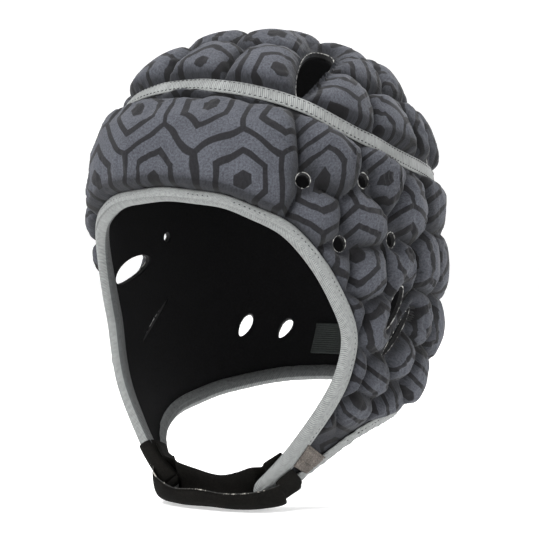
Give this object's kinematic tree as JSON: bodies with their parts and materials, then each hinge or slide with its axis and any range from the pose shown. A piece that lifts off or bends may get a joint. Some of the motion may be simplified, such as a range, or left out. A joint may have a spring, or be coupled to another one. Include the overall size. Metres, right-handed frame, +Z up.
{
  "type": "rugby scrum cap",
  "caption": "Padded rugby scrum cap with a quilted crown and band over a thin lining, taped crown seam, bound face and nape edges, vent openings, ear slots and a cupped chin strap.",
  "frame": {"origin": "the inside of the crown's top, where the cap sits on the head", "axes": "+Z up, the face opens towards -Y, and +X is the wearer's left"},
  "size_m": [0.1808, 0.2056, 0.2596],
  "materials": {
    "printed_knit": "heathered grey-blue knit over foam with a darker printed line pattern, matt",
    "lining_knit": "matt black knit",
    "twill_tape": "light grey twill tape with a stitch line",
    "strap_fabric": "matt black laminated fabric",
    "loop_pile": "brown-grey loop pile",
    "ribbed_webbing": "dark grey ribbed webbing"
  },
  "bodies": {
    "root": {"crown_panel": "printed_knit", "band_panel": "printed_knit", "lining": "lining_knit", "crown_tape": "twill_tape", "face_binding": "twill_tape", "nape_binding": "twill_tape", "chin_strap": "strap_fabric", "strap_patch": "loop_pile", "nape_tab": "ribbed_webbing"}
  },
  "joints": []
}
